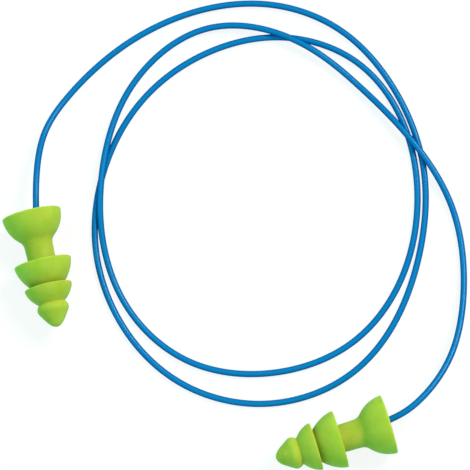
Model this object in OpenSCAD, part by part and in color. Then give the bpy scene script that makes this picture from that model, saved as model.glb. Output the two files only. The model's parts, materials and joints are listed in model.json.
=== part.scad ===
// A pair of reusable push-in ear plugs joined by a cord, lying on a table.
// Each plug is one soft moulding: a hollow bell to grip, a stem, two thin hollow flanges and a nose.
// The cord's ends are pressed into a blind socket in each stem, at the bottom of the bell.
// Origin: on the table, under the middle of the two plugs. +Z is up.

/* [Plug] */
// Length of a plug from the bell's rim to the end of its nose
plug_len = 26.3; // [25.2:0.1:31.6]
// Diameter of the bell's rim
bell_d = 13.4; // [12.6:0.1:16.1]
// Length of the bell
bell_len = 6.3; // [6:0.1:7.6]
// Wall at the bell's rim
bell_wall = 0.9; // [0.6:0.1:1.2]
// Depth of the bell's hollow
hollow_depth = 5.6; // [4.6:0.1:5.8]
// Diameter of the stem
stem_d = 6.4; // [5.3:0.1:7.7]

/* [Flanges] */
// Distance from the bell's rim to the rear flange's rim
rear_flange_s = 11.3; // [9.5:0.1:12]
// Diameter of the rear flange
rear_flange_d = 13; // [10.8:0.1:13.4]
// Length of the rear flange's dome
rear_flange_len = 6; // [5:0.1:6.2]
// Distance from the rear flange's rim to the front flange's rim
flange_pitch = 5.6; // [5.5:0.1:6.2]
// Diameter of the front flange
front_flange_d = 10.8; // [9:0.1:12.8]
// Length of the front flange's dome
front_flange_len = 3.9; // [3.3:0.1:4]
// Thickness of both flanges at their rims
flange_wall = 0.5; // [0.35:0.05:0.7]

/* [Nose] */
// Diameter of the nose at its shoulder
nose_d = 7.2; // [6:0.1:8.6]
// Length of the nose from its shoulder to its end
nose_len = 4.3; // [3.7:0.1:4.6]
// How blunt the end of the nose is: 1 is flat across, 0 is a point
nose_bluntness = 0.5; // [0.35:0.05:0.65]

/* [Cord] */
// Diameter of the cord
cord_d = 1.45; // [1.2:0.05:1.5]
// How much smaller in diameter the socket is than the cord
socket_squeeze = 0.1; // [0.04:0.02:0.2]
// Depth of the socket below its mouth
socket_depth = 8; // [6:0.5:9.5]
// Clearance round the cord in the socket's flared mouth
mouth_clearance = 0.6; // [0.5:0.05:0.9]
// Gap between the cord's stretches where it bends
bend_gap = 0.15; // [0.1:0.05:0.3]

/* [Hidden] */
PLUG_COLOUR = [0.6, 0.8, 0.22];
CORD_COLOUR = [0.05, 0.45, 0.78];
CURVE_STEPS = 8;
ROUND = 48;
RING_SIDES = 8;
RINGS_A_SPAN = 2;

// Where each plug lies: the middle of its bell's rim, the way its nose points, and how far the
// cord leans from its axis as it leaves, to the left of the nose's way.
LEFT = [-37.6, 27.9, -76.7, 11.5];
RIGHT = [42.4, -19.7, -163.1, -8.5];

bell_r = bell_d / 2;
stem_r = stem_d / 2;
nose_r = nose_d / 2;
cord_r = cord_d / 2;
socket_r = cord_r - socket_squeeze / 2;
mouth_r = cord_r + mouth_clearance;

// Distances along the plug from the bell's rim.
front_flange_s = rear_flange_s + flange_pitch;
shoulder_s = plug_len - nose_len;
valley_s = front_flange_s + front_flange_len;
neck_r = stem_r - 0.25;

// The cord bends where it enters the socket and where it passes the bell's rim. Its stretches
// end half round or square, this far from the middle of each bend.
bend_clear = cord_r + bend_gap;
mouth_depth = bend_clear + 0.15;

// A plug lies on its bell's rim and on one flange's rim, so its nose dips a little.
dip = min(atan((bell_r - rear_flange_d / 2) / rear_flange_s),
          atan((bell_r - front_flange_d / 2) / front_flange_s));
axis_z = bell_r * cos(dip);

// Points that pull the cord's curve, from the left plug to the right one: x, y, and the height
// of the cord's underside. The first and the last come down from the plugs, and three lift the
// last turn over the turns below it.
CORD_LEAD = 6;
ROUTE = [
  [-36, 46.5, 2.8], [-31, 55.5, 0], [-19.5, 67.5, 0], [-3.5, 76.5, 0], [15.5, 79.5, 0],
  [33.5, 73, 0], [45.5, 58, 0], [52, 40.5, 0], [51, 22, 0], [45, 3.5, 0],
  [33.5, -10, 0], [15, -16, 0], [-4, -11.5, 0], [-17.5, 1.5, 0], [-24.5, 19.5, 0],
  [-23, 38, 0], [-15, 55, 0], [-1, 66.5, 0], [17.5, 72, 0], [36.5, 66.5, 0],
  [47.5, 51, 0], [50.5, 32.5, 0], [47, 14, 0], [36, -1.5, 0], [18, -8.5, 0],
  [-1.5, -7, 0], [-15.5, 4.5, 0], [-22, 19.5, 0], [-23, 36.5, 2.3], [-18, 59, 0],
  [0.5, 75.5, 0], [22.5, 70.5, 2.3], [36.5, 59, -0.2], [48.5, 46, 2.5], [58, 32, 0],
  [60.5, 15, 0], [58, -4, 2.8]
];

// ---- Curves ----

// A point of the curve that pulls from a to d bend, t from 0 to 1.
function bezier_point(a, b, c, d, t) =
  pow(1 - t, 3) * a + 3 * pow(1 - t, 2) * t * b + 3 * (1 - t) * t * t * c + pow(t, 3) * d;

function bezier(a, b, c, d) =
  [for (i = [0 : CURVE_STEPS]) bezier_point(a, b, c, d, i / CURVE_STEPS)];

// A point of the smooth curve that four neighbouring points pull, t from 0 to 1.
function pulled(a, b, c, d, t) =
  (pow(1 - t, 3) * a + (3 * pow(t, 3) - 6 * t * t + 4) * b
   + (3 * t + 3 * t * t - 3 * pow(t, 3) + 1) * c + pow(t, 3) * d) / 6;

function unit(v) = v / norm(v);

// ---- Places ----

// A point of a plug, given in the plug's own frame, where the plug lies.
function dipped(v) = [cos(dip) * v[2] - sin(dip) * v[0], v[1], -cos(dip) * v[0] - sin(dip) * v[2]];
function turned(v, a) = [cos(a) * v[0] - sin(a) * v[1], sin(a) * v[0] + cos(a) * v[1], v[2]];
function laid(plug, v) = [plug[0], plug[1], axis_z] + turned(dipped(v), plug[2]);

// Where the cord passes the bell's rim, and the way that it leaves.
function way_out(plug) = turned(dipped([0, sin(plug[3]), -cos(plug[3])]), plug[2]);
function at_rim(plug) = laid(plug, [0, hollow_depth * tan(plug[3]), 0]);

module lay(plug) {
  translate([plug[0], plug[1], axis_z])
    rotate([0, 90 + dip, plug[2]])
      children();
}

// ---- The plug, as an outline of [radius, distance from the bell's rim] ----

function bell_outside() = bezier(
  [bell_r, 0],
  [bell_r - 0.15, 0.35 * bell_len],
  [stem_r + 0.7 * (bell_r - stem_r), 0.68 * bell_len],
  [stem_r + 0.24 * (bell_r - stem_r), 0.905 * bell_len]);

function waist() = bezier(
  [stem_r + 0.24 * (bell_r - stem_r), 0.905 * bell_len],
  [stem_r + 0.1 * (bell_r - stem_r), 0.97 * bell_len],
  [stem_r + 0.02 * (bell_r - stem_r), 1.04 * bell_len],
  [stem_r, 1.2 * bell_len]);

// A flange is a thin dome, open at the back. Its hollow runs in to the stem.
function flange_hollow(r, s, len, root_r) = bezier(
  [root_r, s + 0.58 * len],
  [root_r + 0.45 * (r - root_r), s + 0.54 * len],
  [r - flange_wall - 0.12 * (r - root_r), s + 0.26 * len],
  [r - flange_wall, s]);

function flange_dome(r, s, len, root_r) = bezier(
  [r, s],
  [r - 0.05 * (r - root_r), s + 0.32 * len],
  [root_r + 0.6 * (r - root_r), s + 0.72 * len],
  [root_r, s + len]);

function nose() = concat(
  bezier([neck_r, valley_s], [neck_r + 0.35, valley_s + 0.25],
         [nose_r - 0.1, shoulder_s - 0.5], [nose_r, shoulder_s]),
  bezier([nose_r, shoulder_s], [nose_r, shoulder_s + 0.5],
         [nose_r - 0.2, shoulder_s + 0.85], [nose_r - 0.5, shoulder_s + 1.25]),
  bezier([nose_r - 0.5, shoulder_s + 1.25], [nose_r - 1.3, shoulder_s + 0.57 * nose_len],
         [0.75 * nose_bluntness * nose_r, plug_len], [0, plug_len]));

function socket() = [
  [0, hollow_depth + socket_depth],
  [socket_r, hollow_depth + socket_depth],
  [socket_r, hollow_depth + mouth_depth],
  [mouth_r, hollow_depth + mouth_depth],
  [mouth_r, hollow_depth]
];

function bell_hollow() = bezier(
  [mouth_r + 1.3, hollow_depth],
  [bell_r - bell_wall - 1.4, hollow_depth - 0.8],
  [bell_r - bell_wall - 0.1, 0.36 * hollow_depth],
  [bell_r - bell_wall, 0]);

function plug_outline() = concat(
  bell_outside(),
  waist(),
  flange_hollow(rear_flange_d / 2, rear_flange_s, rear_flange_len, stem_r - 0.1),
  flange_dome(rear_flange_d / 2, rear_flange_s, rear_flange_len, stem_r - 0.05),
  flange_hollow(front_flange_d / 2, front_flange_s, front_flange_len, stem_r - 0.25),
  flange_dome(front_flange_d / 2, front_flange_s, front_flange_len, neck_r),
  nose(),
  socket(),
  bell_hollow());

module plug(place) {
  color(PLUG_COLOUR)
    lay(place)
      rotate_extrude($fn = ROUND)
        polygon(plug_outline());
}

// ---- The cord ----

// The stretch inside the bell, half round at both ends where the cord bends.
module cord_neck(place) {
  color(CORD_COLOUR)
    lay(place)
      translate([0, 0, hollow_depth])
        rotate([180 - place[3], 0, 0]) {
          neck_len = hollow_depth / cos(place[3]);
          cylinder(r = cord_r, h = neck_len, $fn = ROUND);
          sphere(r = cord_r, $fn = ROUND);
          translate([0, 0, neck_len])
            sphere(r = cord_r, $fn = ROUND);
        }
}

// The end that is pressed into the stem.
module cord_end(place) {
  color(CORD_COLOUR)
    lay(place)
      translate([0, 0, hollow_depth + bend_clear])
        cylinder(r = cord_r, h = socket_depth - bend_clear, $fn = ROUND);
}

// The points that pull the curve, with a straight start at each plug.
function cord_pulls() =
  let (a = at_rim(LEFT) + bend_clear * way_out(LEFT))
  let (b = at_rim(RIGHT) + bend_clear * way_out(RIGHT))
  concat(
    [for (i = [-1 : 1]) a + i * CORD_LEAD * way_out(LEFT)],
    [for (p = ROUTE) p + [0, 0, cord_r]],
    [for (i = [1 : -1 : -1]) b + i * CORD_LEAD * way_out(RIGHT)]);

function cord_line(pulls) = concat(
  [for (k = [1 : len(pulls) - 3], i = [0 : RINGS_A_SPAN - 1])
    pulled(pulls[k - 1], pulls[k], pulls[k + 1], pulls[k + 2], i / RINGS_A_SPAN)],
  [pulls[len(pulls) - 2]]);

// A ring square to the cord, with a flat side down, flats one cord diameter apart.
function ring(centre, along) =
  let (side = unit(cross([0, 0, 1], along)))
  let (up = cross(along, side))
  [for (k = [0 : RING_SIDES - 1])
    let (a = (k + 0.5) * 360 / RING_SIDES)
    centre + cord_r / cos(180 / RING_SIDES) * (cos(a) * side + sin(a) * up)];

function cord_rings(line) =
  let (last = len(line) - 1)
  [for (i = [0 : last])
    let (along = i == 0 ? way_out(LEFT) : i == last ? -way_out(RIGHT) : line[i + 1] - line[i - 1])
    each ring(line[i], unit(along))];

module cord() {
  line = cord_line(cord_pulls());
  last = RING_SIDES * (len(line) - 1);
  walls = [for (r = [0 : RING_SIDES : last - RING_SIDES], k = [0 : RING_SIDES - 1])
    let (n = (k + 1) % RING_SIDES)
    each [[r + k, r + RING_SIDES + k, r + RING_SIDES + n], [r + k, r + RING_SIDES + n, r + n]]];
  ends = [[for (k = [0 : RING_SIDES - 1]) k], [for (k = [RING_SIDES - 1 : -1 : 0]) last + k]];
  color(CORD_COLOUR)
    polyhedron(cord_rings(line), concat(walls, ends), convexity = 10);
}

plug(LEFT);  // left_plug
plug(RIGHT);  // right_plug
cord();
cord_neck(LEFT);  // left_cord_neck
cord_neck(RIGHT);  // right_cord_neck
cord_end(LEFT);  // left_cord_end
cord_end(RIGHT);  // right_cord_end
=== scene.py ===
# %% [markdown]
# # A pair of corded ear plugs
#
# The object is two soft push-in ear plugs and the cord that joins them. Each plug is one
# moulding of thermoplastic elastomer (TPE): a hollow bell to grip, a stem, two thin hollow
# flanges and a blunt nose. The cord is a 1.45 mm string of soft vinyl, a little over 0.7 m long.
#
# The imported CAD model is the frame for all that follows. It says where each piece lies and how
# it moves, so this script only makes the pieces that are seen, and fixes the plugs and the loops
# to their bodies.

# %% The frame
import json
import math

import bpy
from mathutils import Matrix, Vector


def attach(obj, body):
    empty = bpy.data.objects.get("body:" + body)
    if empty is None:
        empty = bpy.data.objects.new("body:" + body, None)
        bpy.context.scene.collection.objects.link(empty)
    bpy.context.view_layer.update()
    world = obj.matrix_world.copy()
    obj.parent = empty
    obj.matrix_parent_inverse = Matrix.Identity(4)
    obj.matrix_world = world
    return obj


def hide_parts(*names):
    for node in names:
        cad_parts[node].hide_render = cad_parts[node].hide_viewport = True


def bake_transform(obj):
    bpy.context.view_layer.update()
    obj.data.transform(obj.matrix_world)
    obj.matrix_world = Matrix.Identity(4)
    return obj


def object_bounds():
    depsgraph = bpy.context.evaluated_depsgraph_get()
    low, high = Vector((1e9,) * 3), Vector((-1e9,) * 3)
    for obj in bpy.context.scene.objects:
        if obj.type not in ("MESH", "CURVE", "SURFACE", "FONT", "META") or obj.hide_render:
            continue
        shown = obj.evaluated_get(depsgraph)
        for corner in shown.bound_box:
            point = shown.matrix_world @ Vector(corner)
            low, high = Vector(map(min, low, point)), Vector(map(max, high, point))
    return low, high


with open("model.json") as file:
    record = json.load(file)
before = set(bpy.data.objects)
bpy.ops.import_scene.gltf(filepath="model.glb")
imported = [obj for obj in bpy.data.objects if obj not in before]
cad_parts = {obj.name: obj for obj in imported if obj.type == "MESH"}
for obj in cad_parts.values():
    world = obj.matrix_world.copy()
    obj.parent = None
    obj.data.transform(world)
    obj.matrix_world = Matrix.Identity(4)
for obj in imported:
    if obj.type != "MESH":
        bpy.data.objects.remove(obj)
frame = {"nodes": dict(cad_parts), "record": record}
cad_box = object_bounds()
print("CAD box, mm:", [[round(1000 * v, 1) for v in corner] for corner in cad_box])

MM = 0.001
record = frame["record"]
joints = {joint["name"]: joint for joint in record["behaviour"]["joints"]}
canals = {mount["name"]: mount for mount in record["mounts"]}


# %% [markdown]
# ## The camera
#
# The plugs are looked down on, from a little in front of straight above. A long lens a good way
# off keeps the loops round and the plugs the same size wherever they lie. A short lens close by
# would frame the same width, but would spread the near edge. The camera aims at the middle of
# the object, on the table.

# %% The camera
LOOK_DOWN = math.radians(79)
AWAY = 0.9
SEEN_WIDTH = 106.2 * MM
SENSOR = 36.0

low, high = (Vector(corner) for corner in cad_box)
aim = Vector(((low.x + high.x) / 2, (low.y + high.y) / 2, 0))
camera = bpy.data.objects.new("camera", bpy.data.cameras.new("camera"))
bpy.context.scene.collection.objects.link(camera)
camera.location = aim + AWAY * Vector((0, -math.cos(LOOK_DOWN), math.sin(LOOK_DOWN)))
camera.rotation_euler = (math.pi / 2 - LOOK_DOWN, 0, 0)
camera.data.sensor_width = SENSOR
camera.data.lens = SENSOR * AWAY / SEEN_WIDTH
camera.data.clip_start = 0.01
bpy.context.scene.camera = camera
print("camera aims at, mm:", [round(v / MM, 1) for v in aim])


# %% [markdown]
# ## Where the cord leaves each plug
#
# Each plug swings about the mouth of its socket, and lifts where the cord passes the bell's rim.
# Those two points are the CAD model's joints, so the cord's way out of a plug is the line from
# the one to the other. The plug's own axis is the way that it goes into an ear.

# %% Where each plug lies
class Plug:
    """One plug's places, in the frame, in metres."""

    def __init__(self, side):
        self.side = side
        self.mouth = Vector(joints[side + "_plug_swing"]["pos_m"])
        self.at_rim = Vector(joints[side + "_plug_lift"]["pos_m"])
        self.way_out = (self.at_rim - self.mouth).normalized()
        self.forward = Vector(canals[side + "_ear_canal"]["axis"]).normalized()
        self.hollow = (self.mouth - self.at_rim).dot(self.forward)
        self.rim = self.mouth - self.hollow * self.forward


left, right = Plug("left"), Plug("right")
for plug in (left, right):
    print(plug.side, "rim, mm:", [round(v / MM, 2) for v in plug.rim])


# %% [markdown]
# ## The cord's line
#
# A cord is made of its own line first. A few points pull a smooth curve, as pins pull a spline
# batten, so the bends change evenly from one to the next. A curve drawn through every point
# would show each small error in where a point was put. The points are the ones that the CAD
# model uses: x, y and the height of the cord's underside, in millimetres. Most lie on the table.
# The first and the last rise towards the plugs, and three more lift the last turn over the turns
# that it crosses. One lies a little below the table, and pulls the curve back down to it.

# %% The cord's points
CORD_D = 1.45 * MM
CORD_R = CORD_D / 2
BEND_GAP = 0.15 * MM
CORD_LEAD = 6 * MM
ROUTE = [
    (-36, 46.5, 2.8), (-31, 55.5, 0), (-19.5, 67.5, 0), (-3.5, 76.5, 0), (15.5, 79.5, 0),
    (33.5, 73, 0), (45.5, 58, 0), (52, 40.5, 0), (51, 22, 0), (45, 3.5, 0),
    (33.5, -10, 0), (15, -16, 0), (-4, -11.5, 0), (-17.5, 1.5, 0), (-24.5, 19.5, 0),
    (-23, 38, 0), (-15, 55, 0), (-1, 66.5, 0), (17.5, 72, 0), (36.5, 66.5, 0),
    (47.5, 51, 0), (50.5, 32.5, 0), (47, 14, 0), (36, -1.5, 0), (18, -8.5, 0),
    (-1.5, -7, 0), (-15.5, 4.5, 0), (-22, 19.5, 0), (-23, 36.5, 2.3), (-18, 59, 0),
    (0.5, 75.5, 0), (22.5, 70.5, 2.3), (36.5, 59, -0.2), (48.5, 46, 2.5), (58, 32, 0),
    (60.5, 15, 0), (58, -4, 2.8),
]


def pulled(a, b, c, d, t):
    """A point of the smooth curve that four neighbouring points pull, t from 0 to 1."""
    return ((1 - t) ** 3 * a + (3 * t ** 3 - 6 * t * t + 4) * b
            + (3 * t + 3 * t * t - 3 * t ** 3 + 1) * c + t ** 3 * d) / 6


def lead(plug, steps):
    """Points on the cord's straight start at a plug."""
    start = plug.at_rim + (CORD_R + BEND_GAP) * plug.way_out
    return [start + step * CORD_LEAD * plug.way_out for step in steps]


def free_line(samples=24):
    """The cord's centreline from just outside one bell to just outside the other."""
    laid = [Vector((x, y, z)) * MM + Vector((0, 0, CORD_R)) for x, y, z in ROUTE]
    pulls = lead(left, (-1, 0, 1)) + laid + lead(right, (1, 0, -1))
    spans = zip(pulls, pulls[1:], pulls[2:], pulls[3:])
    line = [pulled(*span, i / samples) for span in spans for i in range(samples)]
    return line + [pulls[-2]]


def measure(line):
    """How far along a line each of its points is."""
    along = [0.0]
    for a, b in zip(line, line[1:]):
        along.append(along[-1] + (b - a).length)
    return along


# %% [markdown]
# Inside the bell the cord runs straight from the rim to the socket's mouth, then turns a little
# to follow the plug's axis into the stem. A short curve rounds that corner.

# %% The cord's whole line, socket to socket
SOCKET_DEPTH = 8 * MM
TURN_IN = 1.0 * MM
TURN_OUT = 1.6 * MM


def bezier(a, b, c, d, steps):
    """The curve from a to d that b and c bend, as a list of points."""
    def point(t):
        return ((1 - t) ** 3 * a + 3 * (1 - t) ** 2 * t * b
                + 3 * (1 - t) * t * t * c + t ** 3 * d)
    return [point(i / steps) for i in range(steps + 1)]


def inner_line(plug):
    """From the bottom of the socket to the bell's rim."""
    bottom = plug.mouth + SOCKET_DEPTH * plug.forward
    into = plug.mouth + TURN_IN * plug.forward
    out = plug.mouth + TURN_OUT * plug.way_out
    turn = bezier(into, plug.mouth.lerp(into, 0.3), plug.mouth.lerp(out, 0.3), out, 8)
    return [bottom] + turn + [plug.at_rim]


def even(line, first, last, step):
    """Points at an even step along part of a line, given as distances along it."""
    along = measure(line)
    count = max(2, round((last - first) / step))
    points, k = [], 0
    for i in range(count + 1):
        want = first + (last - first) * i / count
        while k < len(along) - 2 and along[k + 1] < want:
            k += 1
        share = (want - along[k]) / max(along[k + 1] - along[k], 1e-12)
        points.append(line[k].lerp(line[k + 1], min(max(share, 0), 1)))
    return points


whole = inner_line(left) + free_line() + inner_line(right)[::-1]
CORD_LENGTH = measure(whole)[-1]
print("cord, socket to socket, mm:", round(CORD_LENGTH / MM, 1))


# %% [markdown]
# ## The cord's tube
#
# The cord is a plain round string, so it is a tube swept along the line. Blender can bevel a
# curve into a tube, but here the cord is cut into lengths that end near different joints, and the
# lengths have to meet with no seam. So the rings are worked out once for the whole line, each
# turned as little as possible from the last, and every length takes its own share of them.

# %% The rings of the whole cord
RING_SIDES = 18
RING_STEP = 0.7 * MM

cord_line = even(whole, 0, CORD_LENGTH, RING_STEP)
cord_along = measure(cord_line)


def rings_of(line):
    """For each point of a line, the two directions that its ring lies in."""
    sides, side = [], Vector((0, 0, 1))
    for k in range(len(line)):
        forward = (line[min(k + 1, len(line) - 1)] - line[max(k - 1, 0)]).normalized()
        side = (side - side.dot(forward) * forward).normalized()
        sides.append((side, forward.cross(side)))
    return sides


cord_sides = rings_of(cord_line)
print("rings:", len(cord_line), "with", RING_SIDES, "sides each")


# %% [markdown]
# A length is closed by a cap at each end. The edges of the caps are marked sharp, or the smooth
# shading would turn there and draw a dark line round the cord at every join. The UV map holds
# millimetres along the cord and round it, so that a finish can follow the way it was extruded.

# %% One length of the cord
def length_of_cord(name, first, last):
    """The cord from ring first to ring last, with closed ends."""
    mesh = bpy.data.meshes.new(name)
    places, turns = [], range(RING_SIDES)
    for k in range(first, last + 1):
        up, side = cord_sides[k]
        for turn in turns:
            a = 2 * math.pi * turn / RING_SIDES
            places.append(cord_line[k] + CORD_R * (math.cos(a) * up + math.sin(a) * side))
    walls = [(r + t, r + (t + 1) % RING_SIDES, r + RING_SIDES + (t + 1) % RING_SIDES,
              r + RING_SIDES + t)
             for r in range(0, len(places) - RING_SIDES, RING_SIDES) for t in turns]
    end = len(places) - RING_SIDES
    caps = [tuple(reversed(turns)), tuple(end + t for t in turns)]
    mesh.from_pydata(places, [], walls + caps)
    lay_uv(mesh, first)
    mesh.polygons.foreach_set("use_smooth", [True] * len(walls) + [False] * len(caps))
    for edge in mesh.edges:
        a, b = edge.vertices
        edge.use_edge_sharp = max(a, b) < RING_SIDES or min(a, b) >= end
    piece = bpy.data.objects.new(name, mesh)
    bpy.context.scene.collection.objects.link(piece)
    return piece


def lay_uv(mesh, first):
    """Sets the UV map: millimetres along the cord, and millimetres round it."""
    around = 2 * math.pi * CORD_R / RING_SIDES / MM
    uv = mesh.uv_layers.new(name="along").data
    for face in mesh.polygons:
        turns = [mesh.loops[i].vertex_index % RING_SIDES for i in face.loop_indices]
        wraps = max(turns) - min(turns) > RING_SIDES // 2
        for i, turn in zip(face.loop_indices, turns):
            ring = first + mesh.loops[i].vertex_index // RING_SIDES
            if wraps and turn == 0:
                turn = RING_SIDES
            uv[i].uv = (cord_along[ring] / MM, turn * around)


def ring_at(place):
    """The ring nearest to a place."""
    return min(range(len(cord_line)), key=lambda k: (cord_line[k] - place).length)


# %% [markdown]
# ## The cord in five lengths
#
# The real cord is one piece. Here its loops lie still on the table, and each plug lifts and swings
# on its end of the cord. A skeleton could bend the whole tube, but only its ends ever move. So two
# short lengths are cut at each plug, where the cord bends: one across the bell's rim, from the
# loops to the neck of cord inside the bell, and one across the socket's mouth, from that neck to
# the plug.

# %% The five lengths
LEAD_OUT = 6.0 * MM
LEAD_IN = 2.7 * MM


def ends_at(plug):
    """The two places near a plug where one length of cord ends and the next starts."""
    outside = plug.at_rim + LEAD_OUT * plug.way_out
    between = plug.at_rim - LEAD_IN * plug.way_out
    return ring_at(outside), ring_at(between)


last_ring = len(cord_line) - 1
left_out, left_in = ends_at(left)
right_out, right_in = ends_at(right)
loops = length_of_cord("cord_loops", left_out, right_out)
left_socket_cord = length_of_cord("left_socket_cord", 0, left_in)
left_rim_cord = length_of_cord("left_rim_cord", left_in, left_out)
right_rim_cord = length_of_cord("right_rim_cord", right_out, right_in)
right_socket_cord = length_of_cord("right_socket_cord", right_in, last_ring)
cords = [loops, left_socket_cord, left_rim_cord, right_rim_cord, right_socket_cord]
print("lengths of cord, rings:", [len(piece.data.vertices) // RING_SIDES for piece in cords])


# %% [markdown]
# ## What the CAD plug measures
#
# The seen plug has to be the size of the CAD plug. The sizes could be typed in again, but a change
# to the CAD model would then leave the seen plug behind. So they are measured from its mesh: how
# far along the plug each rim is, and how wide it is there. Each search looks only at the stretch
# of the plug that holds the edge it is after.

# %% Sizes taken from the CAD plug
def profile_of(plug):
    """The CAD plug's corners as (millimetres from the bell's rim, millimetres from the axis)."""
    corners = []
    for vertex in frame["nodes"][plug.side + "_plug"].data.vertices:
        away = vertex.co - plug.rim
        s = away.dot(plug.forward)
        corners.append((s / MM, (away - s * plug.forward).length / MM))
    return corners


def widest(corners, s_from, s_to):
    """The corner furthest from the axis in part of the plug."""
    return max((c for c in corners if s_from <= c[0] <= s_to), key=lambda c: c[1])


corners = profile_of(left)
PLUG_LEN = max(s for s, r in corners)
BELL_R = widest(corners, s_from=-1, s_to=0.3)[1]
REAR_S, REAR_R = widest(corners, s_from=9, s_to=13)
FRONT_S, FRONT_R = widest(corners, s_from=16.5, s_to=18.5)
SHOULDER_S, NOSE_R = widest(corners, s_from=21, s_to=24)
STEM_R = widest(corners, s_from=7.4, s_to=8)[1]
HOLLOW = left.hollow / MM
print("plug length, mm:", round(PLUG_LEN, 2), " bell radius:", round(BELL_R, 2))
print("rear flange at", round(REAR_S, 2), "radius", round(REAR_R, 2),
      " front flange at", round(FRONT_S, 2), "radius", round(FRONT_R, 2))
print("nose shoulder at", round(SHOULDER_S, 2), "radius", round(NOSE_R, 2),
      " stem radius", round(STEM_R, 2), " hollow", round(HOLLOW, 2))


# %% [markdown]
# ## The plug's outline
#
# Each plug is round, because it has to seal a round ear canal, and it is moulded in one shot
# over a core pin that leaves the hollow of the bell and the blind socket for the cord. Cones,
# cylinders and booleans could build it up, but they would leave a crease wherever two of them
# meet. A shape that is the same all round is better made as half of its section, spun about its
# axis, so that one flowing line makes all of its surfaces.
#
# The section is drawn with short curves, one for each surface that a mould maker would name. Its
# points are pairs in millimetres: s along the plug from the bell's rim, and r out from the axis.
# Every edge is rounded, if only by 0.2 mm: a moulded edge is never sharp, and the thin bright
# line along each rim comes from that rounding.

# %% Widths and walls of the section
SOCKET_R = 0.75
MOUTH_R = 1.3
MOUTH_S = 1.0
WALL_BELL = 0.9
WALL_FLANGE = 0.5
EDGE = 0.2
print("bell wall", WALL_BELL, "mm, flange wall", WALL_FLANGE, "mm, edges rounded by", EDGE, "mm")


# %% Socket and bell
def curve(*pulls, steps=6):
    """A curve in the section, from the first pull to the last, as points (s, r)."""
    a, b, c, d = (Vector(p) for p in pulls)
    return bezier(a, b, c, d, steps)


def socket_section():
    """The blind socket that grips the cord, and its flared mouth."""
    bottom = HOLLOW + SOCKET_DEPTH / MM
    return [(bottom, 0), (bottom, 0.4), (bottom - 0.15, SOCKET_R), (HOLLOW + 4, SOCKET_R),
            (HOLLOW + MOUTH_S + 0.1, SOCKET_R), (HOLLOW + MOUTH_S, SOCKET_R + 0.1),
            (HOLLOW + MOUTH_S, MOUTH_R - 0.2), (HOLLOW + MOUTH_S - 0.15, MOUTH_R),
            (HOLLOW + 0.3, MOUTH_R), (HOLLOW + 0.05, MOUTH_R + 0.12)]


def bell_section():
    """The inside of the bell, its rim, and its outside down to the stem."""
    inner = BELL_R - WALL_BELL
    flare = BELL_R - STEM_R
    inside = curve((HOLLOW, MOUTH_R + 0.5), (HOLLOW - 0.35, inner - 1.2),
                   (0.36 * HOLLOW, inner - 0.1), (EDGE, inner), steps=9)
    rim = (curve((EDGE, inner), (0.06, inner + 0.02), (0, inner + 0.1), (0, inner + EDGE), steps=4)
           + curve((0, BELL_R - EDGE), (0, BELL_R - 0.08), (0.08, BELL_R),
                   (EDGE + 0.1, BELL_R - 0.01), steps=4))
    outside = curve((EDGE + 0.1, BELL_R - 0.01), (2.3, BELL_R - 0.12),
                    (4.3, STEM_R + 0.7 * flare), (5.7, STEM_R + 0.24 * flare), steps=9)
    waist = curve((5.7, STEM_R + 0.24 * flare), (6.1, STEM_R + 0.1 * flare),
                  (6.6, STEM_R + 0.02 * flare), (7.6, STEM_R), steps=5)
    return inside + rim[1:] + outside[1:] + waist[1:]


# %% Flanges and nose
def flange_section(s, r, length, root, after):
    """One flange: the stem under its skirt, the hollow, the lip, and the dome in front."""
    lip = WALL_FLANGE
    hollow = curve((s + 0.58 * length, root + 0.12), (s + 0.5 * length, root + 0.5 * (r - root)),
                   (s + 0.26 * length, r - lip - 0.12 * (r - root)), (s + 0.2, r - lip), steps=7)
    edge = curve((s + 0.2, r - lip), (s - 0.02, r - lip + 0.04), (s - 0.04, r - 0.03),
                 (s + 0.16, r), steps=5)
    dome = curve((s + 0.16, r), (s + 0.34 * length, r - 0.05 * (r - root)),
                 (s + 0.72 * length, root + 0.6 * (r - root)), (s + length, after), steps=10)
    stem = [Vector((s + 0.5 * length, root)), Vector((s + 0.57 * length, root + 0.02))]
    return stem + hollow + edge[1:] + dome[1:]


def nose_section(valley, groove):
    """The groove behind the nose, its rounded shoulder, and its blunt end."""
    nose_len = PLUG_LEN - SHOULDER_S
    shoulder = curve((valley, groove), (valley + 0.3, groove + 0.35),
                     (SHOULDER_S - 0.5, NOSE_R - 0.1), (SHOULDER_S, NOSE_R), steps=6)
    side = curve((SHOULDER_S, NOSE_R), (SHOULDER_S + 0.5, NOSE_R),
                 (SHOULDER_S + 0.85, NOSE_R - 0.2), (SHOULDER_S + 1.25, NOSE_R - 0.5), steps=6)
    end = curve((SHOULDER_S + 1.25, NOSE_R - 0.5), (SHOULDER_S + 0.57 * nose_len, NOSE_R - 1.3),
                (PLUG_LEN, 0.375 * NOSE_R), (PLUG_LEN, 0), steps=9)
    return shoulder[1:] + side[1:] + end[1:]


# %% The whole section
GROOVE = STEM_R - 0.25
REAR_LEN = FRONT_S - REAR_S + 0.4
FRONT_LEN = SHOULDER_S - FRONT_S - 1.2

section = [Vector(point) for point in socket_section()] + bell_section()
section += flange_section(REAR_S, REAR_R, REAR_LEN, STEM_R - 0.1, STEM_R - 0.05)
section += flange_section(FRONT_S, FRONT_R, FRONT_LEN, GROOVE, GROOVE)
section += nose_section(FRONT_S + FRONT_LEN, GROOVE)
print("points in the section:", len(section))


# %% [markdown]
# ## Spinning the section
#
# In edit mode a single vertex is extruded from point to point, which draws the section. Spin
# then turns it about the axis in even steps. The first and last turns meet and the ends of the
# section lie on the axis, so doubles are merged, and the normals are made to point outwards. A
# plug is drawn standing up, with its bell at the bottom, and laid down afterwards.

# %% Choosing what an operator acts on
def only(piece):
    """Selects one object and makes it the active one."""
    bpy.ops.object.select_all(action="DESELECT")
    piece.select_set(True)
    bpy.context.view_layer.objects.active = piece


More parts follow.
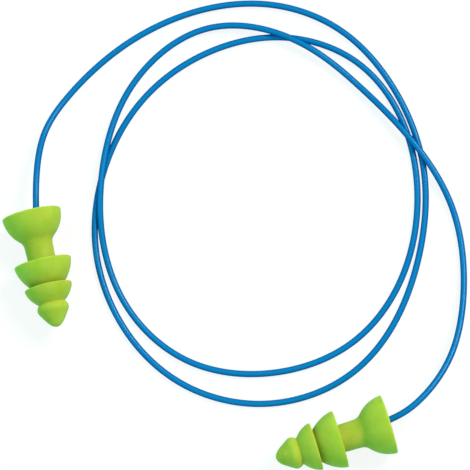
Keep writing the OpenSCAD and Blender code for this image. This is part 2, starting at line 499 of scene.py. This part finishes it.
# %% Drawing and spinning
SPIN_STEPS = 72
MERGE_WITHIN = 0.004 * MM


def spun(name, points):
    """A round piece: a section given as (along Z, radius) in millimetres, spun about Z."""
    bpy.ops.object.select_all(action="DESELECT")
    bpy.ops.mesh.primitive_plane_add(size=MM)
    piece = bpy.context.object
    piece.name = piece.data.name = name
    bpy.ops.object.mode_set(mode="EDIT")
    bpy.ops.mesh.select_mode(type="VERT")
    bpy.ops.mesh.merge(type="CENTER")
    places = [Vector((r, 0, s)) * MM for s, r in points]
    bpy.ops.transform.translate(value=places[0])
    for before, after in zip(places, places[1:]):
        bpy.ops.mesh.extrude_vertices_move(TRANSFORM_OT_translate={"value": after - before})
    bpy.ops.mesh.select_all(action="SELECT")
    bpy.ops.mesh.spin(steps=SPIN_STEPS, angle=2 * math.pi, center=(0, 0, 0), axis=(0, 0, 1))
    bpy.ops.mesh.select_all(action="SELECT")
    bpy.ops.mesh.remove_doubles(threshold=MERGE_WITHIN)
    bpy.ops.mesh.normals_make_consistent(inside=False)
    bpy.ops.object.mode_set(mode="OBJECT")
    return piece


def lie_down(piece, plug):
    """Lays a standing piece where its plug lies."""
    across = Vector((0, 0, 1)).cross(plug.forward).normalized()
    down = across.cross(plug.forward)
    turn = Matrix((down, across, plug.forward)).transposed()
    piece.data.transform(Matrix.Translation(plug.rim) @ turn.to_4x4())
    piece.data.update()


# %% [markdown]
# ## The gate mark
#
# Elastomer is shot into the mould through a small round gate, and the sprue breaks off there
# when the plug is pulled out. It leaves a spot 0.8 mm across that stands 0.15 mm proud, on the
# side of the nose. A boolean could join on a small disc, but the spot is so shallow that it is
# enough to select the corners inside a circle and push them out along their normals. A plug can
# lie any way round on its cord: the right one has its mark on top, and the left one below.
#
# The middle of the circle is the corner that lies furthest out on the gate's side. A penalty for
# its distance along the plug keeps the search at the gate's own place on the nose.

# %% The gate mark
GATE_R = 0.4
GATE_HIGH = 0.15
GATE_S = PLUG_LEN - 1.9
GATE_TURN = {"left": 0.0, "right": math.pi}
GATE_KEEP = 4


def choose(piece, test):
    """Selects the corners of a piece that pass a test, in edit mode, and counts them."""
    only(piece)
    bpy.ops.object.mode_set(mode="EDIT")
    bpy.ops.mesh.select_mode(type="VERT")
    bpy.ops.mesh.select_all(action="DESELECT")
    bpy.ops.object.mode_set(mode="OBJECT")
    chosen = [corner for corner in piece.data.vertices if test(corner)]
    for corner in chosen:
        corner.select = True
    bpy.ops.object.mode_set(mode="EDIT")
    return len(chosen)


def add_gate_mark(piece, turn):
    """Raises the gate's round spot on a standing plug, at an angle about its axis."""
    side = Vector((math.cos(turn), math.sin(turn), 0))
    middle = max((corner.co.copy() for corner in piece.data.vertices),
                 key=lambda place: place.dot(side) - GATE_KEEP * abs(place.z - GATE_S * MM))
    count = choose(piece, lambda corner: (corner.co - middle).length < GATE_R * MM)
    bpy.ops.transform.shrink_fatten(value=GATE_HIGH * MM)
    bpy.ops.object.mode_set(mode="OBJECT")
    print("gate mark on", piece.name + ":", count, "corners raised")


# %% [markdown]
# ## Both plugs
#
# The two plugs come from one mould. Copies that share a mesh would be smaller, but each plug has
# its own mesh here, because each is its own piece and lies at its own slant. One level of
# subdivision rounds the section's curves between their points, which is cheaper than drawing
# twice as many points. Smooth shading hides the facets that are left.

# %% Making the plugs
def shape(piece, modifier, **settings):
    """Adds a modifier with its settings and applies it."""
    only(piece)
    made = piece.modifiers.new(modifier.title(), modifier)
    for name, value in settings.items():
        setattr(made, name, value)
    bpy.ops.object.modifier_apply(modifier=made.name)


def make_plug(plug):
    """The whole moulding of one plug."""
    piece = spun(plug.side + "_moulding", section)
    shape(piece, "SUBSURF", levels=1, render_levels=1)
    add_gate_mark(piece, GATE_TURN[plug.side])
    lie_down(piece, plug)
    only(piece)
    bpy.ops.object.shade_smooth()
    return piece


mouldings = {plug.side: make_plug(plug) for plug in (left, right)}
for side, piece in mouldings.items():
    print(piece.name, "faces:", len(piece.data.polygons))


# %% [markdown]
# ## Colours and nodes
#
# Colours are written as the hex numbers of a colour picker, which are easy to read and compare.
# The shader works in linear light, so one function turns them. Typing linear numbers would save
# the function, but nobody can see a colour in them. Every node is added by one small function,
# which sets its properties and then sets or links its inputs.

# %% Colour and nodes
def linear(hex_colour):
    """A hex sRGB colour as linear red, green and blue, with an alpha of 1."""
    parts = [int(hex_colour[i:i + 2], 16) / 255 for i in (1, 3, 5)]
    bent = [c / 12.92 if c <= 0.04045 else ((c + 0.055) / 1.055) ** 2.4 for c in parts]
    return (*bent, 1.0)


def add_node(tree, kind, settings=None, inputs=None):
    """Adds a node, sets its properties, and sets or links its inputs."""
    node = tree.nodes.new(kind)
    for name, value in (settings or {}).items():
        setattr(node, name, value)
    for name, value in (inputs or {}).items():
        if isinstance(value, bpy.types.NodeSocket):
            tree.links.new(value, node.inputs[name])
        else:
            node.inputs[name].default_value = value
    return node


print("mid grey #808080 in linear light:", round(linear("#808080")[0], 3))


# %% A material
def new_material(name, shader_inputs):
    """A material, its node tree, and its Principled shader with some sockets set."""
    material = bpy.data.materials.new(name)
    material.use_nodes = True
    tree = material.node_tree
    shader = tree.nodes["Principled BSDF"]
    for socket, value in shader_inputs.items():
        shader.inputs[socket].default_value = value
    print(name, "sets", len(shader_inputs), "of the shader's own sockets")
    return material, tree, shader


# %% [markdown]
# ## The plug's elastomer
#
# The plugs are thermoplastic elastomer (TPE), a soft rubber that is shot into a steel mould. The
# mould is spark-eroded, so the skin is satin, with no gloss to speak of. The rubber is a little
# see-through: light goes in a millimetre or two and comes out again, green most of all, so the
# thin flanges glow and the hollows between them stay green where grey shadow would be expected.
# Subsurface scattering does that. A plain diffuse colour would be quicker to render, and would
# look like paint.
#
# Two patterns sit on it. Pigment is never quite evenly mixed, so the colour drifts between two
# limes over about 4 mm. The eroded grain of such a mould is about 0.05 mm, too fine to show, so
# it is drawn four times as coarse, at 0.2 mm, and only 0.02 mm deep. Both are noise on Object
# coordinates, which hold still on a piece while it moves.
#
# The two hex colours are yellower than the lime that the plugs show here. They were balanced
# against this scene's mint light, which holds back red. Under plain white light the plugs come
# out olive, and the colours would have to be made greener.

# %% The plug's elastomer
TPE_CLOUD = 4 * MM
TPE_GRAIN = 0.2 * MM
TPE_GRAIN_DEEP = 0.02 * MM


def moulded_elastomer():
    """TPE from a spark-eroded mould: satin, waxy, and lit a little way in."""
    material, tree, shader = new_material("moulded_tpe_lime", {
        "Roughness": 0.45, "IOR": 1.5, "Specular IOR Level": 0.16, "Subsurface Weight": 0.85,
        "Subsurface Radius": (0.35, 1.0, 0.3), "Subsurface Scale": 2.6 * MM})
    where = add_node(tree, "ShaderNodeTexCoord").outputs["Object"]
    cloud = add_node(tree, "ShaderNodeTexNoise", inputs={
        "Vector": where, "Scale": 1 / TPE_CLOUD, "Detail": 3.0, "Roughness": 0.55})
    tint = add_node(tree, "ShaderNodeValToRGB", inputs={"Fac": cloud.outputs["Fac"]})
    pale, deep = tint.color_ramp.elements[1], tint.color_ramp.elements[0]
    deep.position, deep.color = 0.3, linear("#B4C03C")
    pale.position, pale.color = 0.7, linear("#C6CA52")
    tree.links.new(tint.outputs["Color"], shader.inputs["Base Color"])
    grain = add_node(tree, "ShaderNodeTexNoise", inputs={
        "Vector": where, "Scale": 1 / TPE_GRAIN, "Detail": 2.0, "Roughness": 0.6})
    bump = add_node(tree, "ShaderNodeBump", inputs={
        "Height": grain.outputs["Fac"], "Strength": 0.25, "Distance": TPE_GRAIN_DEEP})
    tree.links.new(bump.outputs["Normal"], shader.inputs["Normal"])
    return material


elastomer = moulded_elastomer()


# %% [markdown]
# ## The cord's vinyl
#
# The cord is soft PVC, pushed hot through a round die. The die leaves a smooth skin with a dull
# gloss and faint lines that run the cord's length, so the pattern has to follow the cord through
# all its bends. The UV map holds millimetres along and round the cord, and a Mapping node
# stretches noise on it: one line is about 0.25 mm wide and 20 mm long. The real lines are a few
# hundredths of a millimetre wide. They are drawn wider, or none would show.
#
# The skin of the vinyl is a little clear, so the cord looks darker towards its two edges, where
# the eye looks through more of it. A coat with a blue tint does that, because it takes more light
# the more it is seen aslant. Real volume absorption would do it too, but is slow and noisy in a
# cord this thin. The coat's IOR is close to 1, so it adds no gloss of its own.

# %% The cord's vinyl
DIE_LINE_WIDE = 0.25
DIE_LINE_LONG = 20.0
DIE_LINE_DEEP = 0.02 * MM


def extruded_vinyl():
    """Soft PVC drawn through a die: a smooth skin with faint lines along it."""
    material, tree, shader = new_material("extruded_pvc_blue", {
        "Roughness": 0.22, "IOR": 1.53, "Specular IOR Level": 0.35,
        "Coat Weight": 1.0, "Coat Roughness": 0.2, "Coat IOR": 1.02,
        "Coat Tint": linear("#95BCDD")})
    along = add_node(tree, "ShaderNodeUVMap", {"uv_map": "along"}).outputs["UV"]
    stretch = add_node(tree, "ShaderNodeMapping", inputs={
        "Vector": along, "Scale": (1 / DIE_LINE_LONG, 1 / DIE_LINE_WIDE, 1.0)})
    lines = add_node(tree, "ShaderNodeTexNoise", inputs={
        "Vector": stretch.outputs["Vector"], "Scale": 1.0, "Detail": 2.0})
    tint = add_node(tree, "ShaderNodeValToRGB", inputs={"Fac": lines.outputs["Fac"]})
    pale, deep = tint.color_ramp.elements[1], tint.color_ramp.elements[0]
    deep.position, deep.color = 0.3, linear("#00A2E8")
    pale.position, pale.color = 0.7, linear("#08B0FA")
    tree.links.new(tint.outputs["Color"], shader.inputs["Base Color"])
    bump = add_node(tree, "ShaderNodeBump", inputs={
        "Height": lines.outputs["Fac"], "Strength": 0.2, "Distance": DIE_LINE_DEEP})
    tree.links.new(bump.outputs["Normal"], shader.inputs["Normal"])
    return material


vinyl = extruded_vinyl()


# %% [markdown]
# ## Giving out the materials
#
# The real object has two materials and no paint or print on either. Each piece gets its own.

# %% Giving out the materials
def finish_with(pieces, material):
    """Gives pieces their material."""
    for piece in pieces:
        piece.data.materials.append(material)
    print(material.name, "on", ", ".join(piece.name for piece in pieces))


finish_with(mouldings.values(), elastomer)
finish_with(cords, vinyl)


# %% [markdown]
# ## The light
#
# The light is soft and comes from above. A warm key from the far right models the plugs' round
# sides, and a weak cool fill from the left draws a thin highlight along the cord. The world
# lights everything else evenly, in a pale mint that keeps the shaded sides of the lime rubber
# green. These tints are strong for a studio, and the materials' colours are balanced against
# them, so neither can be changed alone. Area lamps near the plugs would do as well, but they fall
# off across the loops, and a sun lamp lights every view and every pose alike. A sun's angle is
# how wide it looks: 20 degrees is a large softbox, and its shadows have soft edges. The Standard
# view transform keeps saturated colours as they are.

# %% Lamps and world
def soft_sun(name, toward, spread, strength, colour):
    """A far, wide lamp that shines from a direction, with soft shadows."""
    lamp = bpy.data.lights.new(name, "SUN")
    lamp.angle, lamp.energy, lamp.color = math.radians(spread), strength, linear(colour)[:3]
    thing = bpy.data.objects.new(name, lamp)
    thing.rotation_euler = Vector(toward).to_track_quat("Z", "Y").to_euler()
    bpy.context.scene.collection.objects.link(thing)
    print(name, "lamp at", strength, "W/m2,", spread, "degrees wide")


soft_sun("key", toward=(0.6, 0.5, 1.0), spread=20, strength=2.2, colour="#FFE4C2")
soft_sun("fill", toward=(-0.9, 0.1, 0.8), spread=12, strength=0.4, colour="#6CF0D8")
world = bpy.data.worlds.new("studio")
bpy.context.scene.world = world
world.use_nodes = True
sky = world.node_tree.nodes["Background"]
sky.inputs["Color"].default_value = linear("#B0F9E2")
sky.inputs["Strength"].default_value = 0.72
bpy.context.scene.view_settings.view_transform = "Standard"


# %% [markdown]
# ## The table and the backdrop
#
# The object lies on a white surface so bright that only a trace of shadow shows, like a light
# table. A white floor under strong lamps could be as bright, but would wash out the plugs. So the
# table glows by itself and reflects only a little. A round white backdrop stands far behind it,
# and is all that a low view sees past the table. Neither throws light back on the object, and
# the backdrop casts no shadow, which keeps the shaded sides of the plugs deep in colour.

# %% Table and backdrop
TABLE_SIDE = 12
BACKDROP_R = 5.9
BACKDROP_HIGH = 6


def white_stage(thing, name, colour, glow):
    """Makes a piece of the studio white, and keeps it from lighting the object."""
    thing.name = name
    thing.data.materials.append(new_material(name + "_white", {
        "Base Color": linear(colour), "Roughness": 0.6, "Specular IOR Level": 0.1,
        "Emission Color": linear("#FFFFFF"), "Emission Strength": glow})[0])
    thing.visible_diffuse = thing.visible_glossy = False
    print(name, "size, m:", [round(side, 2) for side in thing.dimensions])


bpy.ops.object.select_all(action="DESELECT")
bpy.ops.mesh.primitive_grid_add(size=TABLE_SIDE, x_subdivisions=2, y_subdivisions=2)
white_stage(bpy.context.object, "table", colour="#6F6C76", glow=0.86)
bpy.ops.object.select_all(action="DESELECT")
bpy.ops.mesh.primitive_cylinder_add(
    vertices=64, radius=BACKDROP_R, depth=BACKDROP_HIGH, end_fill_type="NOTHING",
    location=(0, 0, BACKDROP_HIGH / 2))
backdrop = bpy.context.object
backdrop.visible_shadow = False
white_stage(backdrop, "backdrop", colour="#000000", glow=1.0)


# %% [markdown]
# ## Fixing the plugs and the loops to their bodies
#
# Each plug lifts and swings about the place where its cord comes out, because that is where the
# real cord bends. The frame has three bodies along each end of the cord: the loops on the table,
# a short neck of cord inside the bell, and the plug. The mouldings and the loops keep their
# shape, so each rides on one body.

# %% The pieces that ride
for plug in (left, right):
    body = plug.side + "_plug"
    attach(mouldings[plug.side], body)
    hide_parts(body)
    print(mouldings[plug.side].name, "rides on", body)
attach(loops, "cord")
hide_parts("cord")
print(loops.name, "ride on cord")


# %% [markdown]
# ## The short lengths at the joints
#
# A soft cord doesn't turn at a point, as a hinge does: it bends over several times its own
# thickness. Here each short length has its place baked into its mesh and is fixed to no body, so
# it stays where it was made. The CAD model's neck and cord end are hidden. The depth of the bell
# limits how long a bend inside it can be.

for plug, rim_cord, socket_cord in ((left, left_rim_cord, left_socket_cord),
                                    (right, right_rim_cord, right_socket_cord)):
    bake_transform(rim_cord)
    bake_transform(socket_cord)
    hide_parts(plug.side + "_cord_neck")
    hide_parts(plug.side + "_cord_end")


# %% [markdown]
# ## The cord's true length
#
# A cord is cut to a length, and its loops hide how much of it there is. So the whole length is
# measured along the middle of the curve, from the end that sits in one socket to the end in the
# other, and printed.

# %% The cord's true length
print("the cord's length, m:", round(CORD_LENGTH, 3))
